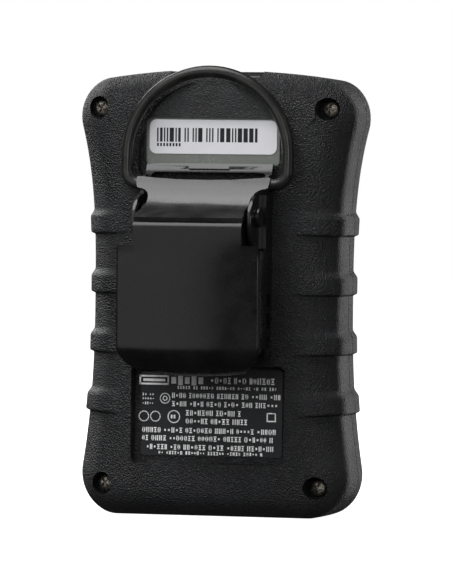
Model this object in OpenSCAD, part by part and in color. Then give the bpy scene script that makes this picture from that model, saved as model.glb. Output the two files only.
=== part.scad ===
// Portable single-gas detector with a steel belt clip and a swinging D-ring.
// +Z is up the height, the front faces -Y, and the back with the clip faces +Y.
// The origin is the middle of the flat bottom, on the parting plane of the case.

/* [Case] */
// Height of the case
case_h = 86; // [84:0.5:90]
// Half the width at the waist
waist_half = 24.4; // [24:0.1:25.5]
// Depth of the back half, from the parting plane to the back face
back_depth = 12; // [12:0.1:12.5]
// Depth of the front half, from the parting plane to the front face
front_depth = 12; // [12:0.1:12.5]
// How far the sides flare out towards the top
top_flare = 3.2; // [2.8:0.1:3.6]
// How far the sides flare out towards the bottom
bottom_flare = 2.5; // [2.2:0.1:3]
// Wall thickness at the sides
wall = 2; // [1.8:0.1:2.1]

/* [Grip ribs] */
// Height of one rib
rib_h = 4.2; // [3:0.1:5]
// How far a rib stands proud of the side
rib_proud = 0.8; // [0.4:0.1:1.2]
// Distance between ribs
rib_pitch = 11.4; // [10:0.1:12]

/* [Gas inlet] */
// Radius of the round socket that takes a calibration cap
inlet_r = 6.5; // [6:0.1:6.8]
// Depth of the socket
inlet_depth = 1.6; // [1.4:0.1:1.8]

/* [Clip] */
// Width of the clip's base plate
clip_w = 25; // [25:0.1:25.2]
// Sheet thickness of the jaw and the bracket
sheet = 0.8; // [0.7:0.05:0.85]
// Width of the jaw plate
jaw_w = 28.3; // [27:0.1:29]
// Radius of the pivot pin
pin_r = 1.2; // [1:0.05:1.3]

/* [D-ring] */
// Radius of the ring's wire
wire_r = 1.15; // [1:0.05:1.2]
// Outer width of the ring
ring_w = 34.2; // [34:0.1:35]

/* [Hidden] */
$fn = 48;
gap = 0.1;
fit = 0.05;

// Outline of the case
waist_z = 42;
corner_top = 7.5;
corner_bottom = 8;
flare_top_z = case_h - corner_top - 3.5;
lean_top = atan(3 * top_flare / (flare_top_z - waist_z));
lean_bottom = atan(2.4 * bottom_flare / (waist_z - corner_bottom));
flare_bottom_z = corner_bottom * (1 + sin(lean_bottom));
crown_angle = 82.6;
corner_steps = 7;
side_steps = 12;
crown_steps = 4;
end_ratio = 0.75;
end_start = 1.1;

// Depth and inset of the case's outside, from the parting plane to the faces
back_profile = [[0, 0], [4, 0.1], [back_depth - 5.3, 0.35], [back_depth - 4.4, 0.95], [back_depth - 2, 3.3],
    [back_depth - 0.7, 4.8], [back_depth - 0.15, 5.6], [back_depth, 6.3]];
front_profile = [[-front_depth, 6.6], [0.4 - front_depth, 5.2], [1.5 - front_depth, 3.7],
    [3.5 - front_depth, 2.3], [-6, 1.15], [-3, 0.35], [0, 0]];
back_inner = back_depth - 1.9;
front_inner = 1.9 - front_depth;
back_cavity = [[-1, wall], [5.5, wall + 0.2], [7.4, wall + 1.4], [back_inner, 6.4]];
front_cavity = [[front_inner, 7.2], [-9, 5.4], [-7, 3.6], [-4, 2.4], [1, wall]];

// Case screws: width and height of each, then the levels of the head and the thread
screw_spots = [[22.7, 78.5], [-22.7, 78.5], [21.2, 6], [-21.2, 6]];
screw_head_r = 1.65;
screw_head_y = 7;
screw_head_h = 1.6;
screw_r = 1;
insert_r = 1.9;
boss_r = 3.5;
head_bore_r = 2.2;

// Pockets in the back
arch_z = 69.7;
arch_r = 14.2;
arch_foot_z = 66.6;
arch_depth = 1.3;
panel = [26.8, 9.2, 72.1];
panel_depth = 2.2;
info_pocket = [30.1, 18.6, 19.6];
pocket_wall = 1.6;
label_t = 0.2;

// Front face
plate = [33, 57, 47];
plate_top_y = -front_depth - 0.3;
plate_seat_y = -front_depth + 0.9;
inlet_x = -7.5;
grille_x = 9.3;
upper_row_z = 62;
inlet_ring_r = 8;
grille_r = 5.2;
window = [28, 16, 42];
view_hole = [25, 13];
button_z = 26.5;
button_r = 5.6;

// Inside
board_front_y = -3.6;
board_back_y = -2.4;
board = [42.6, 52.3, 49.35];
post_x = 19.2;
post_r = 1.9;
post_rows = [30, 51];
sensor_r = 10;
sensor_y = [-8.4, 7.6];
battery_r = 7.25;
battery_len = 33;
battery_y = -0.6;
battery_z = 15;

// Top alarm window: half width at the top and at the floor, floor height, and front and back ends
window_top = 10;
window_floor = 8.6;
window_z = case_h - 3.1;
window_y = [-9, 9.5];

// Clip
clip_t = 1;
clip_z = [30.7, 67.9];
rail_t = 0.7;
rail_h = 4.8;
rail_z = [30.7, 62.6];
rail_windows = [[32.8, 34.9], [36.5, 39.5], [40.7, 43]];
lug_r = 1.9;
ring_pivot = [back_depth + 2.4, 63.9];
rivet_x = 7;
rivet_z = 53;
rivet_r = 0.8;
slot_half = 10.4;
slot_z = [63.9, 66.2];
bracket_in = clip_w / 2 - rail_t - 0.05 - sheet;
ear_z = [51.7, 62];
ear_h = 13.4;
floor_z = [50, 61.5];
jaw_pivot = [back_depth + 8.5, 57.8];
jaw_ear_out = bracket_in - 0.3;
jaw_neck = jaw_ear_out;
jaw_corner = 5.8;
clip_screw_rows = [36, 45.5];

// Outline -------------------------------------------------------------------------------------

function half_width(z) = waist_half + (z > waist_z
    ? top_flare * pow((z - waist_z) / (flare_top_z - waist_z), 3)
    : bottom_flare * pow((waist_z - z) / (waist_z - flare_bottom_z), 2.4));

function arc(c, r, a0, a1, steps) = [for (i = [0 : steps]) let (a = a0 + (a1 - a0) * i / steps)
    [c.x + r * cos(a), c.y + r * sin(a)]];

bottom_centre = [half_width(flare_bottom_z) - corner_bottom * cos(lean_bottom), corner_bottom];
top_centre = [half_width(flare_top_z) - corner_top * cos(lean_top), flare_top_z + corner_top * sin(lean_top)];
crown_x = top_centre.x + corner_top * cos(crown_angle);
crown_z = top_centre.y + corner_top * sin(crown_angle);

right_half = concat(
    arc(bottom_centre, corner_bottom, -90, lean_bottom, corner_steps),
    [for (i = [1 : side_steps - 1])
        let (z = flare_bottom_z + (flare_top_z - flare_bottom_z) * i / side_steps) [half_width(z), z]],
    arc(top_centre, corner_top, -lean_top, crown_angle, corner_steps),
    [for (i = [1 : crown_steps - 1])
        let (x = crown_x * (1 - i / crown_steps))
            [x, case_h - (case_h - crown_z) * pow(x / crown_x, 2)]]);
outline = concat(right_half, [[0, case_h]],
    [for (i = [len(right_half) - 1 : -1 : 0]) [-right_half[i].x, right_half[i].y]]);

function outward(p, i) = let (n = len(p), d = p[(i + 1) % n] - p[(i + n - 1) % n]) [d.y, -d.x] / norm(d);

// The flat ends start to slope in only where the sides' inset is past end_start
function end_inset(k) = end_ratio * max(k - end_start, 0);

function inset_outline(k, end_k) = [for (i = [0 : len(outline) - 1])
    let (n = outward(outline, i)) [outline[i].x - n.x * k, outline[i].y - n.y * end_k]];

// Shapes --------------------------------------------------------------------------------------

module along_y(y0, y1) translate([0, y1, 0]) rotate([90, 0, 0]) linear_extrude(y1 - y0) children();

module along_x(x0, x1) translate([x0, 0, 0]) rotate([90, 0, 90]) linear_extrude(x1 - x0) children();

module rod_y(x, z, r, y0, y1) translate([x, y1, z]) rotate([90, 0, 0]) cylinder(h = y1 - y0, r = r);

module rod_x(y, z, r, x0, x1) translate([x0, y, z]) rotate([0, 90, 0]) cylinder(h = x1 - x0, r = r);

module ring_y(x, z, r_out, r_in, y0, y1) difference() {
    rod_y(x, z, r_out, y0, y1);
    rod_y(x, z, r_in, y0 - 1, y1 + 1);
}

// A rounded rectangle given as width, height and the height of its middle
module rounded(size, r) translate([0, size[2]]) {
    square([size[0] - 2 * r, size[1]], center = true);
    square([size[0], size[1] - 2 * r], center = true);
    for (sx = [-1, 1], sy = [-1, 1]) translate([sx * (size[0] / 2 - r), sy * (size[1] / 2 - r)]) circle(r);
}

// A closed solid through the case's outline, inset by a profile of depths, and for a cavity by the wall too
module case_loft(profile, shift = 0, thick = 0) {
    rings = [for (level = profile) inset_outline(level[1] + shift, end_inset(level[1] - thick) + thick)];
    n = len(outline);
    last = len(profile) - 1;
    points = [for (j = [0 : last], p = rings[j]) [p.x, profile[j][0], p.y]];
    sides = [for (j = [0 : last - 1], i = [0 : n - 1])
        [j * n + i, j * n + (i + 1) % n, (j + 1) * n + (i + 1) % n, (j + 1) * n + i]];
    low = [for (i = [n - 1 : -1 : 0]) i];
    high = [for (i = [0 : n - 1]) last * n + i];
    polyhedron(points, concat(sides, [low], [high]), convexity = 6);
}

// One grip rib's slab: crisp below, sloping away above
module rib_slab(side, z) hull() {
    translate([side * 17, -9, z - rib_h / 2]) cube([0.1, 30, rib_h + 0.9]);
    translate([side * 32, -9, z - rib_h / 2]) cube([0.1, 30, rib_h - 0.6]);
}

module ribs(profile) for (side = [-1, 1], i = [0 : 3]) intersection() {
    case_loft(profile, -rib_proud);
    rib_slab(side, 22 + i * rib_pitch);
}

module arch_shape(grow = 0) {
    translate([0, arch_z]) circle(arch_r + grow);
    translate([-arch_r - grow, arch_foot_z - grow]) square([2 * (arch_r + grow), arch_z - arch_foot_z + grow]);
}

module alarm_notch(shrink = 0) along_y(window_y[0] + shrink, window_y[1] - shrink) polygon([
    [-window_top + shrink, case_h + 1.5], [-window_floor + shrink, window_z + shrink],
    [window_floor - shrink, window_z + shrink], [window_top - shrink, case_h + 1.5]]);

module seal_ring(shrink, y) along_y(-y, y) difference() {
    polygon(inset_outline(0.6 + shrink, 0.6 + shrink));
    polygon(inset_outline(1.4 - shrink, 1.4 - shrink));
}

// Case ----------------------------------------------------------------------------------------

module back_shell() color("#232424") difference() {
    $fn = 32;
    union() {
        case_loft(back_profile);
        ribs(back_profile);
    }
    difference() {
        case_loft(back_cavity, thick = wall);
        for (s = screw_spots) rod_y(s.x, s.y, boss_r, -2, back_depth);
        for (z = clip_screw_rows) rod_y(0, z, boss_r, 5, back_depth);
        for (x = [-post_x, post_x], z = post_rows) rod_y(x, z, post_r, board_back_y, back_depth);
        rod_y(inlet_x, upper_row_z, 8.5, back_depth - panel_depth - pocket_wall, back_depth);
        along_y(back_depth - panel_depth - pocket_wall, back_depth) arch_shape(pocket_wall);
        along_y(back_depth - panel_depth - pocket_wall, back_depth)
            rounded([info_pocket[0] + 3, info_pocket[1] + 3, info_pocket[2]], 2);
    }
    translate([-40, -5, -5]) cube([80, 5, 100]);
    for (s = screw_spots) {
        rod_y(s.x, s.y, screw_r + 0.15, -1, back_depth);
        rod_y(s.x, s.y, head_bore_r, screw_head_y, back_depth + 1);
    }
    for (z = clip_screw_rows) rod_y(0, z, insert_r + gap, 4, back_depth + 1);
    for (x = [-post_x, post_x], z = post_rows) rod_y(x, z, 0.8, board_back_y - 1, 6);
    along_y(back_depth - arch_depth, back_depth + 1) arch_shape();
    along_y(back_depth - panel_depth, back_depth + 1) rounded(panel, 1);
    along_y(back_depth - panel_depth, back_depth + 1) rounded(info_pocket, 1);
    alarm_notch();
    seal_ring(-0.05, 0.65);
}

module front_shell() color("#1f2020") difference() {
    $fn = 32;
    union() {
        case_loft(front_profile);
        ribs(front_profile);
    }
    difference() {
        case_loft(front_cavity, thick = wall);
        for (s = screw_spots) rod_y(s.x, s.y, boss_r, -front_depth, 2);
    }
    translate([-40, 0, -5]) cube([80, 22, 100]);
    for (s = screw_spots) rod_y(s.x, s.y, insert_r + gap, -6.1, 1);
    along_y(-front_depth - 1, plate_seat_y) rounded([plate[0] + 2 * gap, plate[1] + 2 * gap, plate[2]], 4);
    along_y(-front_depth - 1, 0) rounded([view_hole[0], view_hole[1], window[2]], 1);
    rod_y(0, button_z, button_r + 0.6, -front_depth - 1, -5);
    rod_y(inlet_x, upper_row_z, inlet_ring_r + gap, -front_depth - 1, -5);
    rod_y(grille_x, upper_row_z, grille_r - 1, -front_depth - 1, -5);
    alarm_notch();
    seal_ring(-0.05, 0.65);
}

module case_seal() color("#3a3a3c") difference() {
    seal_ring(0, 0.6);
    alarm_notch();
}

module case_screws() color("#8d8468") for (s = screw_spots) translate([s.x, 0, s.y]) rotate([0, 35, 0])
    difference() {
        union() {
            rod_y(0, 0, screw_head_r, screw_head_y, screw_head_y + screw_head_h);
            rod_y(0, 0, screw_r, -5.5, screw_head_y);
        }
        for (a = [0, 90]) rotate([0, a, 0])
            translate([-1.1, screw_head_y + 0.7, -0.22]) cube([2.2, screw_head_h, 0.44]);
    }

module case_inserts() color("#b5973f") for (s = screw_spots)
    ring_y(s.x, s.y, insert_r, screw_r + fit, -5.9, -0.5);

module alarm_window() color("#151617") intersection() {
    alarm_notch(gap);
    along_x(-window_top, window_top) polygon(concat(
        [for (y = [window_y[0] : 0.75 : window_y[1]])
            [y, case_h - 0.45 - end_inset(lookup(y, concat(front_profile, back_profile)))]],
        [[window_y[1], window_z], [window_y[0], window_z]]));
}

module face_plate() color("#2d2f31") difference() {
    along_y(plate_top_y, plate_seat_y) rounded(plate, 4);
    along_y(plate_top_y - 1, plate_seat_y + 1) rounded(window, 1.5);
    rod_y(0, button_z, button_r + fit, plate_top_y - 1, plate_seat_y + 1);
    rod_y(inlet_x, upper_row_z, inlet_ring_r + fit, plate_top_y - 1, plate_seat_y + 1);
    rod_y(grille_x, upper_row_z, grille_r + fit, plate_top_y - 1, plate_seat_y + 1);
}

module display_lens() color("#5d6a66") along_y(plate_top_y + 0.1, plate_seat_y)
    rounded([window[0] - 2 * gap, window[1] - 2 * gap, window[2]], 1.4);

module display_glass() color("#93a08d") along_y(-9.6, -7.4) rounded([30, 17, window[2]], 0.5);

module display_frame() color("#d9d9d2") difference() {
    along_y(-7.4, board_front_y) rounded([31, 18, window[2]], 0.6);
    along_y(-6.6, board_front_y + 1) rounded([28, 15, window[2]], 0.6);
}

module push_button() color("#4a4d50") {
    rod_y(0, button_z, button_r, -front_depth - 1.4, front_inner + 0.2);
    rod_y(0, button_z, button_r + 1.1, front_inner + 0.2, front_inner + 1);
    rod_y(0, button_z, 2, front_inner + 1, -8.4);
}

module button_switch() color("#bfc3c6") {
    translate([-3, -6.4, button_z - 3]) cube([6, 6.4 + board_front_y, 6]);
    rod_y(0, button_z, 1.6, -7.5, -6.4);
}

module inlet_ring() color("#3c3f42") {
    ring_y(inlet_x, upper_row_z, inlet_ring_r, inlet_r, plate_top_y, front_inner);
    ring_y(inlet_x, upper_row_z, inlet_r + 0.5, inlet_r - 0.5, plate_top_y + inlet_depth, front_inner);
    intersection() {
        rod_y(inlet_x, upper_row_z, inlet_r - 0.2, plate_top_y + inlet_depth, front_inner);
        for (i = [-2 : 2]) translate([inlet_x - 8, plate_top_y + inlet_depth, upper_row_z + i * 2.4 - 0.4])
            cube([16, 1, 0.8]);
    }
}

module dust_filter() color("#e6e6e2") rod_y(inlet_x, upper_row_z, 7.8, front_inner, front_inner + 0.4);

module sensor_gasket() color("#4b4b4d")
    ring_y(inlet_x, upper_row_z, 9.4, 6.8, front_inner + 0.4, sensor_y[0]);

module sensor_cell() color("#c9ccd0") rod_y(inlet_x, upper_row_z, sensor_r, sensor_y[0], sensor_y[1]);

module sensor_pad() color("#6a6a6c")
    rod_y(inlet_x, upper_row_z, 8, sensor_y[1], back_depth - panel_depth - pocket_wall);

module horn_grille() color("#3c3f42") difference() {
    rod_y(grille_x, upper_row_z, grille_r, plate_top_y, plate_seat_y);
    for (i = [-2 : 2]) translate([grille_x - 3.2, plate_top_y - 1, upper_row_z + i * 1.5 - 0.35])
        cube([6.4, 4, 0.7]);
}

module buzzer() color("#28292b") difference() {
    rod_y(grille_x + 0.7, upper_row_z, 6.4, -9, board_front_y);
    rod_y(grille_x + 0.7, upper_row_z, 1.2, -9.5, -7.5);
}

module circuit_board() color("#1f5b3a") difference() {
    along_y(board_back_y - 1.2, board_back_y) rounded(board, 2);
    rod_y(inlet_x, upper_row_z, sensor_r + 0.5, -6, 0);
    for (x = [-post_x, post_x], z = post_rows) rod_y(x, z, 0.85, -6, 0);
}

module board_screws() color("#a8a9ab") for (x = [-post_x, post_x], z = post_rows) {
    rod_y(x, z, 1.5, board_front_y - 0.9, board_front_y);
    rod_y(x, z, 0.75, board_front_y, 4);
}

module alarm_leds() color("#d83a2e") for (x = [-7, -2.4, 2.4, 7]) {
    translate([x - 1, board_back_y, 73]) cube([2, 1.4, 1.8]);
    translate([x - 0.7, board_back_y + 0.1, 74.8]) cube([1.4, 1.2, 0.6]);
}

module battery() color("#7f8f9c") {
    rod_x(battery_y, battery_z, battery_r, -battery_len / 2, battery_len / 2 - 1);
    rod_x(battery_y, battery_z, 2.4, battery_len / 2 - 1, battery_len / 2);
}

module battery_tabs() color("#c8c9c4") for (side = [-1, 1])
    translate([side * (battery_len / 2 + 0.15) - 0.15, battery_y - 2.2, battery_z - 3]) cube([0.3, 4.4, 11.2]);

module vibration_motor() color("#b9bcc0") rod_y(9.5, 36, 4, board_back_y, 0.4);

module serial_label() color("#f1f1ef") along_y(back_depth - panel_depth, back_depth - panel_depth + label_t)
    rounded([25.4, 6.6, 73], 1.4);

module info_label() color("#55595c") along_y(back_depth - panel_depth, back_depth - panel_depth + label_t)
    rounded([info_pocket[0] - 0.9, info_pocket[1] - 0.9, info_pocket[2]], 0.9);

// Clip ----------------------------------------------------------------------------------------

module clip_base() color("#18191a") difference() {
    union() {
        along_y(back_depth, back_depth + clip_t)
            translate([-clip_w / 2, clip_z[0]]) square([clip_w, clip_z[1] - clip_z[0]]);
        for (side = [-1, 1]) along_x(side * (clip_w - rail_t) / 2 - rail_t / 2, side * (clip_w - rail_t) / 2 + rail_t / 2) {
            translate([back_depth, rail_z[0]]) square([rail_h, rail_z[1] - rail_z[0]]);
            translate([back_depth, ring_pivot.y - lug_r]) square([ring_pivot.x - back_depth, 2 * lug_r]);
            translate(ring_pivot) circle(lug_r);
        }
        translate([-4, back_depth + clip_t, 66.8]) cube([8, 0.3, 0.6]);
    }
    rod_x(ring_pivot.x, ring_pivot.y, wire_r + fit, -clip_w, clip_w);
    along_y(back_depth - 1, back_depth + 3) {
        translate([-slot_half, slot_z[0]]) square([2 * slot_half, slot_z[1] - slot_z[0]]);
        for (side = [-1, 1]) translate([side * slot_half, (slot_z[0] + slot_z[1]) / 2])
            circle((slot_z[1] - slot_z[0]) / 2);
    }
    for (w = rail_windows) translate([-clip_w, back_depth + 1.6, w[0]]) cube([2 * clip_w, 2, w[1] - w[0]]);
    for (z = clip_screw_rows) rod_y(0, z, screw_r + 0.1, back_depth - 1, back_depth + 3);
    for (x = [-rivet_x, rivet_x]) rod_y(x, rivet_z, rivet_r + fit, back_depth - 1, back_depth + 3);
}

module hinge_bracket() color("#101112") difference() {
    union() {
        along_y(back_depth + clip_t, back_depth + clip_t + sheet)
            translate([-bracket_in - sheet, floor_z[0]]) square([2 * (bracket_in + sheet), floor_z[1] - floor_z[0]]);
        for (side = [-1, 1]) along_x(side * (bracket_in + sheet / 2) - sheet / 2, side * (bracket_in + sheet / 2) + sheet / 2) {
            ear_r = (ear_z[1] - ear_z[0]) / 2;
            translate([back_depth + clip_t, ear_z[0]]) square([ear_h - clip_t - ear_r, 2 * ear_r]);
            translate([back_depth + ear_h - ear_r, ear_z[0] + ear_r]) circle(ear_r);
        }
    }
    rod_x(jaw_pivot.x, jaw_pivot.y, pin_r + 0.02, -clip_w, clip_w);
    for (x = [-rivet_x, rivet_x]) rod_y(x, rivet_z, rivet_r + fit, back_depth, back_depth + 4);
}

module bracket_rivets() color("#1b1c1d") for (x = [-rivet_x, rivet_x]) {
    rod_y(x, rivet_z, rivet_r, back_depth, back_depth + clip_t + sheet);
    rod_y(x, rivet_z, 1.5, back_depth + clip_t + sheet, back_depth + clip_t + sheet + 0.5);
}

module clip_screws() color("#2a2a2b") for (z = clip_screw_rows) difference() {
    union() {
        rod_y(0, z, 2.1, back_depth + clip_t, back_depth + clip_t + 1);
        rod_y(0, z, screw_r, 5.5, back_depth + clip_t);
    }
    translate([-1.4, back_depth + clip_t + 0.5, z - 0.25]) cube([2.8, 1, 0.5]);
}

module clip_inserts() color("#b5973f") for (z = clip_screw_rows)
    ring_y(0, z, insert_r, screw_r + fit, 5.5, back_depth - 0.1);

module pivot_pin() color("#9b9c9d") {
    rod_x(jaw_pivot.x, jaw_pivot.y, pin_r, -bracket_in - sheet, bracket_in + sheet);
    for (side = [-1, 1]) rod_x(jaw_pivot.x, jaw_pivot.y, pin_r + 0.7,
        side * (bracket_in + sheet + 0.35) - 0.35, side * (bracket_in + sheet + 0.35) + 0.35);
}

// Outer lines of the two jaw sheets, as height above the back face and height up the case.
// The thumb tab slopes out to a cut edge, and the jaw's top flange is welded to its underside.
tab_line = [[7.7, 65.4], [8.6, 63.3], [10.2, 61.2], [13, 59], [16.9, 57]];
weld_angle = 62.9;
bend_r = 1.9;
plate_bend = [14.5, 55.15];
jaw_line = concat(
    [plate_bend + bend_r * [cos(weld_angle), sin(weld_angle)] + 4 * [-sin(weld_angle), cos(weld_angle)]],
    arc(plate_bend, bend_r, weld_angle, 0, 4),
    [[16.5, 50], [16.2, 33.6]],
    arc([10.2, 33.4], 6, 0, -100, 8),
    [[1.8, 31.4]]);

function line_normal(p, i) = let (a = p[max(i - 1, 0)], b = p[min(i + 1, len(p) - 1)], d = b - a)
    [d.y, -d.x] / norm(d);

module sheet_section(line) translate([back_depth, 0]) polygon(concat(line,
    [for (i = [len(line) - 1 : -1 : 0]) line[i] + sheet * line_normal(line, i)]));

module jaw_outline() {
    translate([-jaw_neck, 50]) square([2 * jaw_neck, 8]);
    translate([-9.3, 50]) square([18.6, 13]);
    translate([-jaw_w / 2, 27 + jaw_corner]) square([jaw_w, 52.4 - 27 - jaw_corner]);
    translate([jaw_corner - jaw_w / 2, 27]) square([jaw_w - 2 * jaw_corner, 20]);
    for (side = [-1, 1]) translate([side * (jaw_w / 2 - jaw_corner), 27 + jaw_corner]) circle(jaw_corner);
}

module tab_outline() {
    translate([-13.2, 63.1]) square([26.4, 3.5]);
    translate([-10.2, 56]) square([20.4, 8]);
    translate([-jaw_neck, 55]) square([2 * jaw_neck, 3]);
}

module jaw() color("#0e0f10") difference() {
    union() {
        intersection() {
            along_x(-15, 15) sheet_section(jaw_line);
            along_y(back_depth, back_depth + 25) jaw_outline();
        }
        for (side = [-1, 1]) {
            along_x(side * (jaw_w - sheet) / 2 - sheet / 2, side * (jaw_w - sheet) / 2 + sheet / 2)
                translate([back_depth + 11.5, 33]) square([4.2, 19.4]);
            along_x(side * (jaw_ear_out - sheet / 2) - sheet / 2, side * (jaw_ear_out - sheet / 2) + sheet / 2) {
                translate(jaw_pivot) circle(2.4);
                translate([jaw_pivot.x - 2.4, 52.6]) square([back_depth + 15.7 - jaw_pivot.x + 2.4, 4.2]);
            }
        }
    }
    rod_x(jaw_pivot.x, jaw_pivot.y, pin_r + fit, -clip_w, clip_w);
    for (side = [-1, 1]) translate([side * 14.4 - 3, back_depth, 26]) cube([6, 6.5, 10]);
}

module thumb_tab() color("#141516") intersection() {
    along_x(-15, 15) sheet_section(tab_line);
    along_y(back_depth, back_depth + 25) tab_outline();
}

// Torsion spring: one coil about the pin with a leg on the bracket floor and a leg under the jaw
spring_r = 2.3;
spring_wire = 0.4;
spring_half = 4.4;
spring_turns = 7;
turn_steps = 12;
spring_path = concat([[-spring_half, back_depth + 2.35, 52.5]],
    [for (i = [0 : spring_turns * turn_steps + 3])
        let (a = 200 + 360 * i / turn_steps)
            [-spring_half + 2 * spring_half * i / (spring_turns * turn_steps + 3),
             jaw_pivot.x + spring_r * cos(a), jaw_pivot.y + spring_r * sin(a)]],
    [[spring_half, back_depth + 14.9, 52.5]]);

module tube(path, r, sides) {
    n = len(path);
    function along(i) = let (d = path[min(i + 1, n - 1)] - path[max(i - 1, 0)]) d / norm(d);
    function across(i) = let (c = cross(along(i), [1, 0, 0.001])) c / norm(c);
    points = [for (i = [0 : n - 1], k = [0 : sides - 1])
        let (u = across(i), v = cross(along(i), u), a = 360 * k / sides)
            path[i] + r * (cos(a) * u + sin(a) * v)];
    faces = concat(
        [[for (k = [0 : sides - 1]) k]],
        [for (i = [0 : n - 2], k = [0 : sides - 1])
            [i * sides + k, (i + 1) * sides + k, (i + 1) * sides + (k + 1) % sides, i * sides + (k + 1) % sides]],
        [[for (k = [sides - 1 : -1 : 0]) (n - 1) * sides + k]]);
    polyhedron(points, faces, convexity = 8);
}

module torsion_spring() color("#8e9194") tube(spring_path, spring_wire, 6);

// D-ring: two short pins in the lugs, tight corners, straight sides and a half-round top
ring_half = ring_w / 2 - wire_r;
ring_bend = 2.6;
ring_side = 5.7;
module d_ring() color("#121314") translate([0, ring_pivot.x, ring_pivot.y]) rotate([3, 0, 0]) {
    translate([0, 0, ring_side]) rotate([90, 0, 0]) rotate_extrude(angle = 180)
        translate([ring_half, 0]) circle(wire_r);
    for (side = [0, 1]) mirror([side, 0, 0]) {
        translate([ring_half, 0, ring_bend]) cylinder(h = ring_side - ring_bend, r = wire_r);
        translate([ring_half - ring_bend, 0, ring_bend]) rotate([90, 0, 0]) rotate([0, 0, -90])
            rotate_extrude(angle = 90) translate([ring_bend, 0]) circle(wire_r);
        rod_x(0, 0, wire_r, 11.2, ring_half - ring_bend);
    }
}

back_shell();
front_shell();
case_seal();
case_screws();
case_inserts();
alarm_window();
face_plate();
display_lens();
display_glass();
display_frame();
push_button();
button_switch();
inlet_ring();
dust_filter();
sensor_gasket();
sensor_cell();
sensor_pad();
horn_grille();
buzzer();
circuit_board();
board_screws();
alarm_leds();
battery();
battery_tabs();
vibration_motor();
serial_label();
info_label();
clip_base();
hinge_bracket();
bracket_rivets();
clip_screws();
clip_inserts();
pivot_pin();
jaw();
thumb_tab();
torsion_spring();
d_ring();
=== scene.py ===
"""Looks of a portable gas detector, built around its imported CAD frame. Lengths inside are in millimetres."""

import math
import random

import bmesh
import bpy
import numpy as np
from mathutils import Matrix, Vector


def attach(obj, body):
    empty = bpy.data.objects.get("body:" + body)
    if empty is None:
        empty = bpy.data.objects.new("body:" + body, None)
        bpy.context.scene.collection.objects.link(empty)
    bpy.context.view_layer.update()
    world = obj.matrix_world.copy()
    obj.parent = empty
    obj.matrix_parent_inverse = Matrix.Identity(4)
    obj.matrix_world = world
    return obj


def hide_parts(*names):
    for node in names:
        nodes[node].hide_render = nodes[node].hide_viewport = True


MM = 0.001
BACK = 12.0  # the case's back face, in Y

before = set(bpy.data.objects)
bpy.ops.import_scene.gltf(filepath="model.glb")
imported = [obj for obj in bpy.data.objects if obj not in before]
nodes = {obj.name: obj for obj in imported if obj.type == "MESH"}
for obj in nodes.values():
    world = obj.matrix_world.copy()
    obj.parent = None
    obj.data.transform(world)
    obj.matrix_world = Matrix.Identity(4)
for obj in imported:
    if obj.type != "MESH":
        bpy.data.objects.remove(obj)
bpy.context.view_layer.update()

# ---------------------------------------------------------------- camera and light

AIM = (-0.2, 0.0, 43.05)
MIDDLE = Vector((0, 0, 43)) * MM  # what the lights point at, in metres
CAMERA_DISTANCE = 1100.0
SENSOR_HEIGHT = 24
VIEW_AZIMUTH = math.radians(195.2)
VIEW_ELEVATION = math.radians(1.2)
VIEW_ROLL = math.radians(0.67)
PICTURE_HEIGHT = 113.2


def view_axes():
    """The camera's right, up and backward directions."""
    a, e = VIEW_AZIMUTH, VIEW_ELEVATION
    back = Vector((math.sin(a) * math.cos(e), -math.cos(a) * math.cos(e), math.sin(e)))
    right = Vector((math.cos(a), math.sin(a), 0))
    up = back.cross(right)
    c, s = math.cos(VIEW_ROLL), math.sin(VIEW_ROLL)
    return right * c + up * s, up * c - right * s, back


def add_camera():
    right, up, back = view_axes()
    data = bpy.data.cameras.new("camera")
    data.sensor_fit = "VERTICAL"
    data.sensor_height = SENSOR_HEIGHT
    data.lens = SENSOR_HEIGHT * CAMERA_DISTANCE / PICTURE_HEIGHT
    data.clip_start, data.clip_end = 0.05, 30
    camera = bpy.data.objects.new("camera", data)
    place = Matrix((right, up, back)).transposed().to_4x4()
    place.translation = (Vector(AIM) + back * CAMERA_DISTANCE) * MM
    camera.matrix_world = place
    bpy.context.scene.collection.objects.link(camera)
    bpy.context.scene.camera = camera


def add_softbox(name, place, size, radiance):
    """A rectangular light that faces the object; size is in metres."""
    data = bpy.data.lights.new(name, "AREA")
    data.shape = "RECTANGLE"
    data.size, data.size_y = size
    data.energy = radiance * math.pi * size[0] * size[1]
    light = bpy.data.objects.new(name, data)
    light.location = Vector(place)
    light.rotation_euler = (MIDDLE - Vector(place)).to_track_quat("-Z", "Y").to_euler()
    bpy.context.scene.collection.objects.link(light)
    return light


def add_world(seen, cast):
    """A backdrop of one brightness to the camera, and of another, cast, to the object."""
    world = bpy.data.worlds.new("studio")
    bpy.context.scene.world = world
    world.use_nodes = True
    tree = world.node_tree
    tree.nodes.clear()
    out = tree.nodes.new("ShaderNodeOutputWorld")
    mix = tree.nodes.new("ShaderNodeMixShader")
    path = tree.nodes.new("ShaderNodeLightPath")
    ambient = tree.nodes.new("ShaderNodeBackground")
    backdrop = tree.nodes.new("ShaderNodeBackground")
    ambient.inputs["Color"].default_value = (cast, cast, cast * 1.05, 1)
    backdrop.inputs["Color"].default_value = (seen, seen, seen, 1)
    tree.links.new(path.outputs["Is Camera Ray"], mix.inputs[0])
    tree.links.new(ambient.outputs[0], mix.inputs[1])
    tree.links.new(backdrop.outputs[0], mix.inputs[2])
    tree.links.new(mix.outputs[0], out.inputs["Surface"])


def around(turn, rise, distance):
    """A place round the object: degrees to the left of the view, degrees up, and metres away."""
    a, e = VIEW_AZIMUTH - math.radians(turn), math.radians(rise)
    return MIDDLE + distance * Vector((math.sin(a) * math.cos(e), -math.cos(a) * math.cos(e), math.sin(e)))


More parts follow.
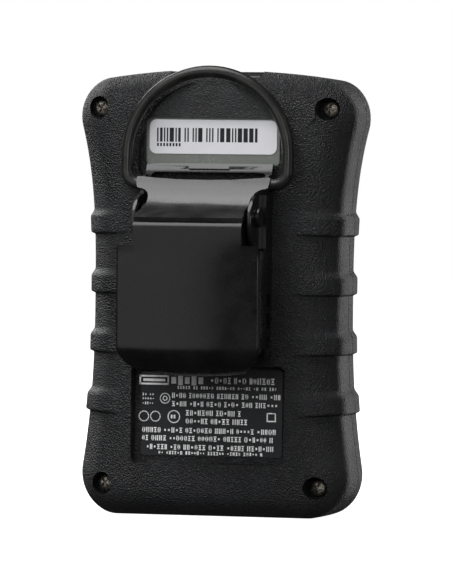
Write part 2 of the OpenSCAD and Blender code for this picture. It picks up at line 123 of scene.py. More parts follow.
add_camera()
bpy.context.scene.view_settings.view_transform = "Standard"
add_world(seen=1.0, cast=0.035)
add_softbox("overhead", (0.23, 0.27, 0.82), (0.60, 0.80), 4.0)
add_softbox("left_key", around(43, 10, 0.8), (0.60, 0.75), 0.62)
add_softbox("camera_soft", around(-8, 10, 1.3), (0.34, 0.70), 2.8)
add_softbox("right_key", around(-66, 14, 0.8), (0.26, 0.60), 0.62)
matt_fill = add_softbox("matt_fill", around(22, 22, 1.2), (0.60, 0.60), 5.0)
matt_fill.visible_glossy = False
add_softbox("front_key", around(150, 25, 0.85), (0.55, 0.55), 2.6)
add_softbox("front_fill", around(-145, 8, 0.8), (0.35, 0.7), 1.4)

# ---------------------------------------------------------------- mesh helpers


def link(name, mesh):
    obj = bpy.data.objects.new(name, mesh)
    bpy.context.scene.collection.objects.link(obj)
    return obj


def from_bmesh(name, bm):
    """A new object from a bmesh, which is freed."""
    mesh = bpy.data.meshes.new(name)
    bm.to_mesh(mesh)
    bm.free()
    return link(name, mesh)


def from_lists(name, points, faces, fix_normals=True):
    """An object from points in millimetres and faces as lists of their numbers."""
    bm = bmesh.new()
    verts = [bm.verts.new(Vector(p) * MM) for p in points]
    for face in faces:
        if len(set(face)) > 2:
            bm.faces.new([verts[i] for i in face])
    if fix_normals:
        bmesh.ops.recalc_face_normals(bm, faces=bm.faces)
    return from_bmesh(name, bm)


def loft(name, rings):
    """A closed skin through rings of the same number of points, with a flat end at each side."""
    n, last = len(rings[0]), len(rings) - 1
    points = [p for ring in rings for p in ring]
    faces = [(j * n + i, j * n + (i + 1) % n, (j + 1) * n + (i + 1) % n, (j + 1) * n + i)
             for j in range(last) for i in range(n)]
    faces += [tuple(range(n))[::-1], tuple(range(last * n, last * n + n))]
    return from_lists(name, points, faces)


def along_y(outline, y):
    """An outline in X and Z, placed at one Y."""
    return [(x, y, z) for x, z in outline]


def circle(x, z, r, count=40):
    turns = np.linspace(0, math.tau, count, endpoint=False)
    return [(x + r * math.cos(t), z + r * math.sin(t)) for t in turns]


def rounded(w, h, cz, r, grow=0.0, cx=0.0, steps=8):
    """A rectangle with round corners round the point (cx, cz), made larger by grow on each side."""
    w, h, r = w + 2 * grow, h + 2 * grow, max(r + grow, 0.05)
    out = []
    for k, (sx, sz) in enumerate([(1, 1), (-1, 1), (-1, -1), (1, -1)]):
        for t in np.linspace(0, math.pi / 2, steps + 1):
            a = k * math.pi / 2 + t
            out.append((cx + sx * (w / 2 - r) + r * math.cos(a), cz + sz * (h / 2 - r) + r * math.sin(a)))
    return out


def prism(name, shape, levels):
    """shape(grow) gives an outline in X and Z; levels are (y, grow)."""
    return loft(name, [along_y(shape(g), y) for y, g in levels])


def lathe_y(name, x, z, profile, count):
    """profile is (radius, y) from one end to the other; the ends are closed."""
    return loft(name, [along_y(circle(x, z, max(r, 0.01), count), y) for r, y in profile])


def arc(cx, cy, r, a0, a1, steps):
    """Points on an arc round (cx, cy), from a0 to a1 degrees."""
    return [(cx + r * math.cos(math.radians(a0 + (a1 - a0) * i / steps)),
             cy + r * math.sin(math.radians(a0 + (a1 - a0) * i / steps))) for i in range(steps + 1)]


def plate_x(name, outline, x0, x1):
    """An outline in Y and Z between two X."""
    return loft(name, [[(x, y, z) for y, z in outline] for x in (x0, x1)])


def apply_modifiers(obj):
    """Bake the modifiers into the mesh."""
    graph = bpy.context.evaluated_depsgraph_get()
    mesh = bpy.data.meshes.new_from_object(obj.evaluated_get(graph))
    obj.modifiers.clear()
    old, obj.data = obj.data, mesh
    bpy.data.meshes.remove(old)


def boolean(obj, others, operation="DIFFERENCE"):
    """Cut the others out of obj, or unite them with it, and delete them."""
    for other in others:
        m = obj.modifiers.new("boolean", "BOOLEAN")
        m.operation, m.solver, m.object = operation, "EXACT", other
    bpy.context.view_layer.update()
    apply_modifiers(obj)
    for other in others:
        bpy.data.objects.remove(other)
    return obj


def join(name, parts):
    """One object from several, left as separate closed skins."""
    bm = bmesh.new()
    for part in parts:
        bm.from_mesh(part.data)
        bpy.data.objects.remove(part)
    return from_bmesh(name, bm)


def smooth(obj, angle=32):
    """Smooth shading, with edges sharper than the angle kept."""
    obj.data.shade_smooth()
    obj.data.set_sharp_from_angle(angle=math.radians(angle))


def soften(obj, width, angle=35, weld=False):
    """A small rounding, width millimetres wide, on every edge sharper than the angle."""
    if weld:
        obj.modifiers.new("weld", "WELD").merge_threshold = 1e-6
    if width:
        bevel = obj.modifiers.new("bevel", "BEVEL")
        bevel.width, bevel.segments = width * MM, 2
        bevel.limit_method, bevel.angle_limit = "ANGLE", math.radians(angle)
        bevel.miter_outer = "MITER_ARC"
        bevel.use_clamp_overlap = True
    normals = obj.modifiers.new("normals", "WEIGHTED_NORMAL")
    normals.keep_sharp = True
    normals.weight = 60


def piece(obj, material, body, replaces=()):
    """Finish a new piece: its material or list of them, its body and the nodes it stands for."""
    chosen = [f.material_index for f in obj.data.polygons]
    obj.data.materials.clear()
    materials = material if isinstance(material, (list, tuple)) else [material]
    for m in materials:
        obj.data.materials.append(m)
    for f, index in zip(obj.data.polygons, chosen):
        f.material_index = min(index, len(materials) - 1)
    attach(obj, body)
    if replaces:
        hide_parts(*replaces)
    return obj


def dress(name, material, width=0.0):
    """A CAD node that stays, with a better material and softened edges."""
    obj = nodes[name]
    if not obj.material_slots:
        obj.data.materials.append(material)
    for material_slot in obj.material_slots:
        material_slot.material = material
    if width:
        soften(obj, width, weld=True)


# ---------------------------------------------------------------- materials

COAT_ROUGHNESS = 0.05
ROUGH_VARY = 0.08
SPECK_SPACING = 1.7
SPECK_COLOUR = (0.5, 0.5, 0.48)
GRAIN_CELL, GRAIN_DEPTH = 0.29, 0.33
DUST_SPACING = 1.6
DUST_COLOUR = (0.45, 0.45, 0.44)


class Shader:
    """A small builder for one Principled material in object coordinates, scaled to millimetres."""

    def __init__(self, name, colour, roughness, metallic=0.0, specular=0.5, coat=0.0):
        self.material = bpy.data.materials.new(name)
        self.material.use_nodes = True
        self.tree = self.material.node_tree
        self.tree.nodes.clear()
        out = self.node("ShaderNodeOutputMaterial")
        self.base = self.node("ShaderNodeBsdfPrincipled")
        self.link(self.base.outputs[0], out.inputs["Surface"])
        self.base.inputs["Base Color"].default_value = (*colour, 1)
        self.base.inputs["Roughness"].default_value = roughness
        self.base.inputs["Metallic"].default_value = metallic
        self.base.inputs["Specular IOR Level"].default_value = specular
        self.base.inputs["Coat Weight"].default_value = coat
        self.base.inputs["Coat Roughness"].default_value = COAT_ROUGHNESS
        coords = self.node("ShaderNodeTexCoord")
        scale = self.node("ShaderNodeVectorMath")
        scale.operation = "SCALE"
        scale.inputs["Scale"].default_value = 1 / MM
        self.link(coords.outputs["Object"], scale.inputs[0])
        self.place = scale.outputs[0]
        self.normal = None

    def node(self, kind):
        return self.tree.nodes.new(kind)

    def link(self, a, b):
        self.tree.links.new(a, b)

    def noise(self, size, detail=3.0, roughness=0.55):
        """Cloudy noise from 0 to 1, with features about size millimetres wide."""
        n = self.node("ShaderNodeTexNoise")
        n.inputs["Scale"].default_value = 1 / size
        n.inputs["Detail"].default_value = detail
        n.inputs["Roughness"].default_value = roughness
        self.link(self.place, n.inputs["Vector"])
        return n.outputs["Fac"]

    def cells(self, size, output="Distance", feature="F1", smoothness=None):
        """Cells about size millimetres wide: the distance from their middles, or a colour for each."""
        n = self.node("ShaderNodeTexVoronoi")
        n.feature = feature
        n.inputs["Scale"].default_value = 1 / size
        if smoothness is not None:
            n.inputs["Smoothness"].default_value = smoothness
        self.link(self.place, n.inputs["Vector"])
        return n.outputs[output]

    def math(self, operation, a, b=0.0):
        n = self.node("ShaderNodeMath")
        n.operation = operation
        for socket, value in zip(n.inputs, (a, b)):
            if isinstance(value, (int, float)):
                socket.default_value = value
            else:
                self.link(value, socket)
        return n.outputs[0]

    def ramp(self, value, low, high, out_low=0.0, out_high=1.0):
        """A smooth step from out_low to out_high as the value goes from low to high."""
        n = self.node("ShaderNodeMapRange")
        n.interpolation_type = "SMOOTHSTEP"
        for key, v in (("From Min", low), ("From Max", high), ("To Min", out_low), ("To Max", out_high)):
            n.inputs[key].default_value = v
        self.link(value, n.inputs["Value"])
        return n.outputs["Result"]

    def mix(self, factor, a, b):
        n = self.node("ShaderNodeMix")
        n.data_type = "RGBA"
        for socket, value in ((n.inputs[0], factor), (n.inputs[6], a), (n.inputs[7], b)):
            if isinstance(value, (int, float)):
                socket.default_value = value
            elif isinstance(value, (tuple, list)):
                socket.default_value = (*value, 1)
            else:
                self.link(value, socket)
        return n.outputs[2]

    def attribute(self, name):
        n = self.node("ShaderNodeAttribute")
        n.attribute_name = name
        return n.outputs["Fac"]

    def colour(self, value):
        self.link(value, self.base.inputs["Base Color"])

    def roughness(self, value):
        self.link(value, self.base.inputs["Roughness"])

    def bump(self, height, depth):
        """depth is in millimetres for a height of one."""
        n = self.node("ShaderNodeBump")
        n.inputs["Strength"].default_value = 1.0
        n.inputs["Distance"].default_value = depth * MM
        self.link(height, n.inputs["Height"])
        if self.normal is not None:
            self.link(self.normal, n.inputs["Normal"])
        self.normal = n.outputs[0]
        self.link(self.normal, self.base.inputs["Normal"])


def surface(name, colour, roughness, metallic=0.0, specular=0.5, coat=0.0, vary=0.15, patch=4.0, grain=0.4,
            depth=0.004, specks=0.0):
    """A painted, moulded or metal surface: patchy colour and roughness, fine grain and a little dust."""
    s = Shader(name, colour, roughness, metallic, specular, coat)
    cloud = s.noise(patch, 4)
    fine = s.noise(grain, 3, 0.6)
    dark = tuple(c * (1 - vary) for c in colour)
    light = tuple(min(1, c * (1 + vary) + 0.002) for c in colour)
    tone = s.mix(s.ramp(cloud, 0.3, 0.7), dark, light)
    if specks:
        dot = s.cells(SPECK_SPACING)
        pick = s.cells(SPECK_SPACING, "Color")
        hit = s.math("MULTIPLY", s.ramp(dot, 0.03, 0.07, 1, 0), s.ramp(pick, 1 - specks, 1 - specks + 0.02))
        tone = s.mix(hit, tone, SPECK_COLOUR)
    s.colour(tone)
    s.roughness(s.math("ADD", s.ramp(cloud, 0.25, 0.75, roughness - ROUGH_VARY, roughness),
                       s.ramp(fine, 0.3, 0.7, 0, ROUGH_VARY)))
    s.bump(fine, depth)
    return s.material


def leather_plastic(name, colour, roughness):
    """Moulded plastic with a leathery grain, dust in it and rubbed rib edges."""
    s = Shader(name, colour, roughness)
    broad = s.noise(9, 3)
    pebble = s.cells(GRAIN_CELL, feature="SMOOTH_F1", smoothness=0.35)
    pebble_wide = s.cells(GRAIN_CELL * 1.9, feature="SMOOTH_F1", smoothness=0.5)
    fine = s.noise(0.22, 2)
    wear = s.attribute("wear")
    base = s.mix(s.ramp(broad, 0.3, 0.7), tuple(c * 0.85 for c in colour), tuple(c * 1.18 for c in colour))
    worn = s.math("MULTIPLY", wear, s.ramp(s.noise(1.3, 4), 0.35, 0.75))
    base = s.mix(s.math("MULTIPLY", worn, 0.35), base, tuple(c * 2.2 for c in colour))
    dot = s.math("MULTIPLY", s.ramp(s.cells(DUST_SPACING), 0.03, 0.06, 1, 0),
                 s.ramp(s.cells(DUST_SPACING, "Color"), 0.88, 0.9))
    s.colour(s.mix(dot, base, DUST_COLOUR))
    s.roughness(s.math("ADD", s.ramp(broad, 0.3, 0.7, roughness - 0.05, roughness + 0.05),
                       s.math("MULTIPLY", worn, -0.12)))
    height = s.math("ADD", pebble, s.math("MULTIPLY", pebble_wide, 0.12))
    height = s.math("ADD", height, s.math("MULTIPLY", fine, 0.3))
    s.bump(height, GRAIN_DEPTH)
    return s.material


case_plastic = leather_plastic("case_plastic", (0.0185, 0.019, 0.0205), 0.38)
# Painted light: a lighter copy of the case plastic that brightens the arch pocket's floor.
arch_painted_light = leather_plastic("arch_painted_light", (0.05, 0.051, 0.053), 0.42)
# Painted reflection: the pale grey-green colour of the serial label pocket's floor stands in for light
# reflected by its glossy surface.
gloss_floor_painted_reflection = surface("gloss_floor_painted_reflection", (0.16, 0.17, 0.155), 0.25, coat=0.4, vary=0.05, depth=0.002)
smoked_plastic = surface("smoked_plastic", (0.008, 0.008, 0.009), 0.3, coat=0.1, vary=0.3, depth=0.001,
                         specks=0.02)
clip_enamel = surface("clip_enamel", (0.012, 0.012, 0.013), 0.22, coat=0.3, vary=0.3, grain=0.3, depth=0.003,
                      specks=0.05)
jaw_enamel = surface("jaw_enamel", (0.0045, 0.0045, 0.0044), 0.25, vary=0.25, patch=6, grain=0.2,
                     depth=0.003, specks=0.02)
tab_enamel = surface("tab_enamel", (0.02, 0.02, 0.021), 0.2, coat=0.3, vary=0.2, grain=0.3, depth=0.0015)
ring_enamel = surface("ring_enamel", (0.014, 0.014, 0.013), 0.33, coat=0.1, vary=0.3, grain=0.5, depth=0.002)
bright_steel = surface("bright_steel", (0.42, 0.42, 0.43), 0.32, metallic=1.0, vary=0.25, grain=0.15,
                       depth=0.006)
brass = surface("brass", (0.5, 0.36, 0.12), 0.35, metallic=1.0, vary=0.3, grain=0.3, depth=0.004)
face_plastic = surface("face_plastic", (0.045, 0.047, 0.05), 0.42, vary=0.12, grain=0.18, depth=0.008,
                       specks=0.03)
grille_plastic = surface("grille_plastic", (0.06, 0.062, 0.066), 0.38, vary=0.12, grain=0.22, depth=0.006,
                         specks=0.03)
button_rubber = surface("button_rubber", (0.1, 0.105, 0.11), 0.62, vary=0.12, grain=0.16, depth=0.008,
                        specks=0.04)
seal_rubber = surface("seal_rubber", (0.045, 0.045, 0.047), 0.75, vary=0.2, grain=0.3, depth=0.006)
white_plastic = surface("white_plastic", (0.66, 0.66, 0.62), 0.45, vary=0.05, depth=0.004)
buzzer_plastic = surface("buzzer_plastic", (0.02, 0.02, 0.021), 0.5, vary=0.2, depth=0.004)
led_plastic = surface("led_plastic", (0.45, 0.03, 0.02), 0.2, coat=0.4, vary=0.1, depth=0.002)
battery_sleeve = surface("battery_sleeve", (0.2, 0.25, 0.32), 0.35, vary=0.1, depth=0.003)
filter_fabric = surface("filter_fabric", (0.72, 0.72, 0.68), 0.85, vary=0.08, grain=0.25, depth=0.03)
board_green = surface("board_green", (0.015, 0.09, 0.045), 0.35, vary=0.25, patch=2, grain=0.3, depth=0.004)
white_label = surface("white_label", (0.8, 0.8, 0.83), 0.45, vary=0.02, grain=0.6, depth=0.003)
grey_label = surface("grey_label", (0.02, 0.021, 0.023), 0.34, specular=0.2, vary=0.12, grain=0.35,
                     depth=0.003, specks=0.05)
print_black = surface("print_black", (0.012, 0.012, 0.014), 0.6, vary=0.2, depth=0.002)
print_grey = surface("print_grey", (0.88, 0.89, 0.89), 0.45, vary=0.15, patch=0.8, depth=0.002)


def screw_material():
    """Brass-coloured steel with dark dirt in the recess and pale scratches."""
    s = Shader("screw_metal", (0.3, 0.27, 0.22), 0.35, metallic=1.0)
    grit = s.noise(0.28, 5, 0.7)
    blotch = s.noise(0.7, 3)
    tone = s.mix(s.ramp(blotch, 0.35, 0.65), (0.34, 0.3, 0.24), (0.75, 0.72, 0.66))
    s.colour(s.mix(s.ramp(grit, 0.38, 0.52), (0.05, 0.045, 0.038), tone))
    s.roughness(s.ramp(grit, 0.4, 0.7, 0.5, 0.3))
    s.bump(grit, 0.03)
    return s.material


def clear_material(name, colour, roughness, transmission):
    """Clear plastic with a faint haze."""
    s = Shader(name, colour, roughness)
    s.base.inputs["Transmission Weight"].default_value = transmission
    s.base.inputs["IOR"].default_value = 1.46
    haze = s.noise(0.9, 3)
    s.roughness(s.ramp(haze, 0.3, 0.7, roughness, roughness + 0.04))
    s.bump(s.noise(6, 2), 0.01)
    return s.material


screw_metal = screw_material()
lens_clear = clear_material("lens_clear", (0.5, 0.54, 0.53), 0.03, 0.92)
lcd_glass = surface("lcd_glass", (0.2, 0.23, 0.18), 0.25, coat=0.5, vary=0.04, patch=8, depth=0.001)
segment_grey = surface("segment_grey", (0.12, 0.14, 0.11), 0.35, vary=0.05, depth=0.001)

# ---------------------------------------------------------------- case shells

WAIST_Z, CORNER_TOP, CORNER_BOTTOM, CASE_H = 42.0, 7.5, 8.0, 86.0
WAIST_HALF, TOP_FLARE, BOTTOM_FLARE = 24.75, 2.85, 2.2
FLARE_TOP_Z = CASE_H - CORNER_TOP - 3.5
LEAN_TOP = math.atan(3 * TOP_FLARE / (FLARE_TOP_Z - WAIST_Z))
LEAN_BOTTOM = math.atan(2.4 * BOTTOM_FLARE / (WAIST_Z - CORNER_BOTTOM))
FLARE_BOTTOM_Z = CORNER_BOTTOM * (1 + math.sin(LEAN_BOTTOM))
CROWN_ANGLE = 82.6  # degrees at which the top corner's arc meets the crown
RIB_Z = [22 + 11.4 * i for i in range(4)]
RIB_H, RIB_PROUD = 4.2, 0.8
CLIP_SCREW_Z = (36, 45.5)
ARCH_FOOT_Z = 66
SCREWS = [(22.7, 78.5), (-22.7, 78.5), (21.2, 6), (-21.2, 6)]
# Section of each shell: (Y, how far the side has come in from the widest line)
BACK_PROFILE = [(0, 0), (4, 0.1), (6.3, 0.35), (7.7, 1.1), (9.6, 2.9), (10.9, 4.6), (11.6, 6.4), (11.92, 8.4),
                (12, 10.4)]
FRONT_PROFILE = [(-12, 6.8), (-11.85, 5.4), (-11.2, 3.9), (-10.2, 2.7), (-8.6, 1.5), (-6, 0.55), (-3, 0.15),
                 (0, 0)]
BACK_CAVITY = [(-1, 2), (5.5, 2.2), (7.4, 3.4), (8.2, 4.2)]
FRONT_CAVITY = [(-10.1, 7.2), (-9, 5.4), (-7, 3.6), (-4, 2.4), (1, 2)]
WALL, SEAM, BOSS_R = 2, 0.14, 3.5
POCKET_DEPTH, ARCH_DEPTH = 2.2, 1.3
# Width, height and middle height of each label's pocket
SERIAL_POCKET = (26.8, 9.2, 72.1)
INFO_POCKET = (30.1, 18.6, 19.6)
EDGE_ROUND = 0.13
CORNER_INSET = 7.2  # the rings may come in this far at the corners without folding over
# The front's openings: the seat of the face plate and the display's as the pockets are given, and the
# button's, the gas inlet's and the horn's as (X, Z, radius)
PLATE_POCKET, PLATE_SEAT = (33.2, 57.2, 47), -11.1
DISPLAY_OPENING = (25, 13, 42)
FRONT_HOLES = [(0, 26.5, 6.2), (-7.5, 62.0, 8.1), (9.3, 62.0, 4.2)]


def half_width(z):
    """Half the case's width at a height, without the ribs."""
    if z > WAIST_Z:
        return WAIST_HALF + TOP_FLARE * ((z - WAIST_Z) / (FLARE_TOP_Z - WAIST_Z)) ** 3
    return WAIST_HALF + BOTTOM_FLARE * ((WAIST_Z - z) / (WAIST_Z - FLARE_BOTTOM_Z)) ** 2.4


def smoothstep(a, b, x):
    t = min(max((x - a) / (b - a), 0), 1)
    return t * t * (3 - 2 * t)


def rib_at(z):
    """Height share of the nearest grip rib: a crisp lower edge and a softer upper one."""
    low, high = RIB_H / 2, RIB_H / 2 + 0.1
    return max(smoothstep(c - low - 0.1, c - low + 0.4, z)
               * (1 - smoothstep(c + high - 1.1, c + high + 0.6, z)) for c in RIB_Z)


def side_heights(step):
    """Heights of the rings' points along a side, closer together at the edges of the ribs."""
    zs = set(np.arange(FLARE_BOTTOM_Z, FLARE_TOP_Z, step)[1:])
    if step < 2:
        for c in RIB_Z:
            zs |= set(c - RIB_H / 2 + np.array([-0.35, -0.1, 0.0, 0.1, 0.2, 0.3, 0.6]))
            zs |= set(c + RIB_H / 2 + np.array([-1.1, -0.8, -0.55, -0.3, -0.1, 0.1, 0.3, 0.5, 0.8]))
    zs = sorted(zs)
    return [z for i, z in enumerate(zs) if i == 0 or z - zs[i - 1] > 0.06]


def case_outline(step=1.1, corner=14):
    """The case seen from behind, from the middle of its lower edge round to the same place."""
    bottom = (half_width(FLARE_BOTTOM_Z) - CORNER_BOTTOM * math.cos(LEAN_BOTTOM), CORNER_BOTTOM)
    top = (half_width(FLARE_TOP_Z) - CORNER_TOP * math.cos(LEAN_TOP),
           FLARE_TOP_Z + CORNER_TOP * math.sin(LEAN_TOP))
    half = [(bottom[0] * t, 0.0) for t in (0.25, 0.5, 0.75)]
    half += arc(*bottom, CORNER_BOTTOM, -90, math.degrees(LEAN_BOTTOM), corner)
    half += [(half_width(z), z) for z in side_heights(step)]
    half += arc(*top, CORNER_TOP, -math.degrees(LEAN_TOP), CROWN_ANGLE, corner)
    end_x, end_z = half[-1]
    half += [(end_x * t, CASE_H - (CASE_H - end_z) * t * t)
             for t in (0.88, 0.75, 0.62, 0.5, 0.37, 0.25, 0.12)]
    return [(0.0, 0.0)] + half + [(0.0, CASE_H)] + [(-x, z) for x, z in reversed(half)]


def outline_normals(outline):
    p = np.array(outline)
    d = np.roll(p, -1, 0) - np.roll(p, 1, 0)
    n = np.stack([d[:, 1], -d[:, 0]], 1)
    return n / np.linalg.norm(n, axis=1)[:, None]


def chaikin(points, rounds):
    """Round a line off by cutting its corners, as many times as rounds."""
    points = [np.array(p, float) for p in points]
    for _ in range(rounds):
        cut = [points[0]]
        for a, b in zip(points, points[1:]):
            cut += [a * 0.75 + b * 0.25, a * 0.25 + b * 0.75]
        points = cut + [points[-1]]
    return points


def case_rings(profile, outline, ribs=True, thick=0.0):
    """Rings of a shell or of its cavity: the outline drawn in along the profile, with the ribs pushed out."""
    p, n = np.array(outline), outline_normals(outline)
    share = np.array([rib_at(z) if ribs and abs(x) > 20 and 15 < z < 65 else 0 for x, z in outline])
    rings = []
    reach = min(9.5, max(inset for _, inset in profile) - 0.15)
    slopes = np.gradient(np.array(profile, float), axis=0)
    corner = [max(smoothstep(CASE_H - CORNER_TOP - 12, CASE_H - CORNER_TOP - 2, z),
                  smoothstep(CORNER_BOTTOM + 12, CORNER_BOTTOM + 2, z)) for _, z in p]
    for (y, inset), (dy, dk) in zip(profile, slopes):
        if abs(y) < 1:
            dy, dk = 1, 0
        proud = RIB_PROUD * (1 - smoothstep(0.3 * reach, reach, inset)) / math.hypot(dy, dk)
        end = 0.75 * max(inset - thick - 1.1, 0) + thick
        ring = []
        for (px, pz), (nx, nz), s, c in zip(p, n, share, corner):
            side = min(inset, CORNER_INSET + 6 * (1 - c))
            across = side - proud * dy * s
            ring.append((px - nx * across, y + proud * dk * s, pz - nz * min(end, CORNER_INSET)))
        rings.append(ring)
    return rings


def mark_wear(obj):
    """Wear follows the rib edges and the shoulder between the sides and the bevel."""
    mesh = obj.data
    layer = mesh.attributes.new("wear", "FLOAT", "POINT")
    values = []
    for v in mesh.vertices:
        x, y, z = v.co / MM
        edge = abs(x) - half_width(min(max(z, 2), 84))
        rib = max((1 - abs(z - (c + s * RIB_H / 2)) / 0.7 for c in RIB_Z for s in (-1, 1)), default=0)
        values.append(min(1, max(0, rib) * (1 if edge > -4 else 0) + max(0, 1 - abs(abs(y) - 7) / 1.4) * 0.5))
    layer.data.foreach_set("value", values)


def cylinder(x, z, r, y0, y1, count=40):
    """A cutter or a boss along Y."""
    return loft("cutter", [along_y(circle(x, z, r, count), y) for y in (y0, y1)])


def arch_outline(grow=0.0):
    """The arched recess under the ring: a half circle above, and a narrower foot."""
    r, foot = 14.2 + grow, 66.6 - grow
    low = math.degrees(math.asin((69.7 - foot) / r))
    return (arc(0, 69.7, r, 0, 180, 40) + [(-r, foot)] + arc(0, 69.7, r, 180 + low, 360 - low, 24)[1:-1]
            + [(r, foot)])


def notch_cutter():
    """The seat of the light window, in the top edge of both shells."""
    shape = [(-10, 87.5), (-8.6, 82.9), (8.6, 82.9), (10, 87.5)]
    return loft("cutter", [along_y(shape, y) for y in (-9, 9.5)])


def pocket(shape, corner, low, high, grow_low, grow_high):
    """A cutter for a recess with round corners: (width, height, middle height) from one Y to another."""
    return prism("cutter", lambda g: rounded(*shape, corner, g), [(low, grow_low), (high, grow_high)])


def finish_shell(obj, materials, node):
    mark_wear(obj)
    smooth(obj, 30)
    soften(obj, EDGE_ROUND, 40)
    piece(obj, materials, "case", [node])


def build_back_shell(outline, cavity_outline):
    back = chaikin(BACK_PROFILE, 2)
    back = [(0.0, SEAM), (SEAM, 0.01)] + [tuple(p) for p in back if p[0] > 0.3]
    obj = loft("case_back", case_rings(back, outline))
    cavity = loft("cavity", case_rings(BACK_CAVITY, cavity_outline, False, WALL))
    boolean(cavity, [cylinder(x, z, BOSS_R, -2, 9) for x, z in SCREWS])
    over = BACK + 1
    cutters = [cavity,
               prism("cutter", arch_outline, [(BACK - ARCH_DEPTH, 0), (over, 0.25)]),
               pocket(SERIAL_POCKET, 1, BACK - POCKET_DEPTH, over, -0.05, 0.1),
               pocket(INFO_POCKET, 1, BACK - POCKET_DEPTH, over, 0, 0.35),
               notch_cutter()]
    cutters += [cylinder(0, z, 2.0, 4, over) for z in CLIP_SCREW_Z]
    for x, z in SCREWS:
        cutters += [cylinder(x, z, 1.15, -1, 8), cylinder(x, z, 2.2, 7, over, 48)]
    boolean(obj, cutters)
    # Index 1 gives the serial label pocket's floor its painted reflection, index 2 gives the arch pocket's
    # floor its painted light.
    floors = {1: (BACK - POCKET_DEPTH) * MM, 2: (BACK - ARCH_DEPTH) * MM}
    for f in obj.data.polygons:
        f.material_index = 0
        for index, floor_y in floors.items():
            if abs(f.center.y - floor_y) < 1e-5 and abs(f.normal.y) > 0.9 and f.center.z > ARCH_FOOT_Z * MM:
                f.material_index = index
    finish_shell(obj, [case_plastic, gloss_floor_painted_reflection, arch_painted_light], "back_shell")


def build_front_shell(outline, cavity_outline):
    front = chaikin(FRONT_PROFILE, 2)
    front = [tuple(p) for p in front if p[0] < -0.3] + [(-SEAM, 0.01), (0.0, SEAM)]
    obj = loft("case_front", case_rings(front, outline))
    boolean(obj, [loft("cavity", case_rings(FRONT_CAVITY, cavity_outline, False, WALL))])
    boolean(obj, [cylinder(x, z, BOSS_R, -8, -0.02) for x, z in SCREWS], "UNION")
    cutters = [notch_cutter(),
               pocket(PLATE_POCKET, 4, -13.5, PLATE_SEAT, 0.3, 0),
               pocket(DISPLAY_OPENING, 1, -13, -1, 0, 0)]
    cutters += [cylinder(x, z, r, -13, -5) for x, z, r in FRONT_HOLES]
    cutters += [cylinder(x, z, 2.0, -6.1, 1) for x, z in SCREWS]
    boolean(obj, cutters)
    finish_shell(obj, [case_plastic], "front_shell")


# ---------------------------------------------------------------- case screws


def cross_screw(x, z, turn):
    """A pan-head screw with a cross recess, turned by an angle in radians."""
    profile = [(1.0, -5.5), (1.0, 7.0), (1.45, 7.0), (1.65, 7.15), (1.65, 7.9), (1.56, 8.15), (1.3, 8.38),
               (0.9, 8.53), (0.45, 8.6), (0.1, 8.6)]
    head = lathe_y("screw", x, z, profile, 40)
    cutters = []
    for angle in (turn, turn + math.pi / 2):
        c, s = math.cos(angle), math.sin(angle)
        rings = []
        for y, arm, w in ((7.75, 0.55, 0.14), (8.9, 1.15, 0.26)):
            rings.append([(x + a * arm * c - b * w * s, y, z + a * arm * s + b * w * c)
                          for a, b in ((-1, -1), (1, -1), (1, 1), (-1, 1))])
        cutters.append(loft("cutter", rings))
    return boolean(head, cutters)


def build_case_screws():
    parts = [cross_screw(x, z, turn) for (x, z), turn in zip(SCREWS, (0.5, 0.15, 0.9, 0.35))]
    obj = join("case_screw_set", parts)
    smooth(obj, 30)
    soften(obj, 0.05, 35)
    piece(obj, screw_metal, "case", ["case_screws"])


# ---------------------------------------------------------------- labels

LABEL_TOP = BACK - 2.0
PRINT = (LABEL_TOP - 0.01, LABEL_TOP + 0.012)
INFO_LEFT, INFO_RIGHT = 13.5, -14.1
# Rows of small print: first X, last X, Z of the middle, height and stroke of the marks
HEADER_ROWS = [(0.0, -12.6, 26.2, 1.2, 0.24), (6.5, INFO_RIGHT + 0.6, 24.75, 0.6, 0.15)]
SIDE_ROWS = [(INFO_LEFT, 10.6, 23.3, 0.5, 0.14), (INFO_LEFT, 10.6, 22.5, 0.5, 0.14),
             (INFO_LEFT, 10.6, 21.6, 0.5, 0.14)]
BODY_ROWS = [(7.6, INFO_RIGHT + 0.1, 23.2, 1.0, 0.2), (7.6, INFO_RIGHT + 0.3, 21.6, 1.0, 0.2),
             (7.8, 6.3, 19.1, 0.7, 0.16), (4.8, -6.4, 19.9, 1.05, 0.2), (4.8, -8.6, 18.3, 1.05, 0.2),
             (INFO_LEFT, INFO_RIGHT + 0.1, 16.5, 1.0, 0.2), (INFO_LEFT, INFO_RIGHT + 1.0, 14.95, 1.0, 0.2),
             (INFO_LEFT - 0.9, INFO_RIGHT + 0.1, 13.25, 1.0, 0.2),
             (INFO_LEFT - 3.3, INFO_RIGHT + 3, 12.15, 0.65, 0.16)]
# Round symbols: X, Z, radius and number of dots
SYMBOLS = [(9.0, 22.6, 0.95, 22), (9.0, 22.6, 0.4, 10), (13.2, 19.1, 0.95, 20), (10.9, 19.1, 0.95, 20),
           (7.2, 19.1, 1.15, 30)]


def bars(name, boxes, y0, y1, material, slot):
    """Printed marks as thin raised rectangles: boxes are (x, z, width, height) of their middles."""
    points, faces = [], []
    for x, z, w, h in boxes:
        b = len(points)
        for y in (y0, y1):
            points += [(x - w / 2, y, z - h / 2), (x + w / 2, y, z - h / 2), (x + w / 2, y, z + h / 2),
                       (x - w / 2, y, z + h / 2)]
        faces += [(b, b + 1, b + 2, b + 3), (b + 4, b + 5, b + 6, b + 7), (b, b + 1, b + 5, b + 4),
                  (b + 1, b + 2, b + 6, b + 5), (b + 2, b + 3, b + 7, b + 6), (b + 3, b, b + 4, b + 7)]
    obj = from_lists(name, points, faces)
    return piece(obj, material, "case")


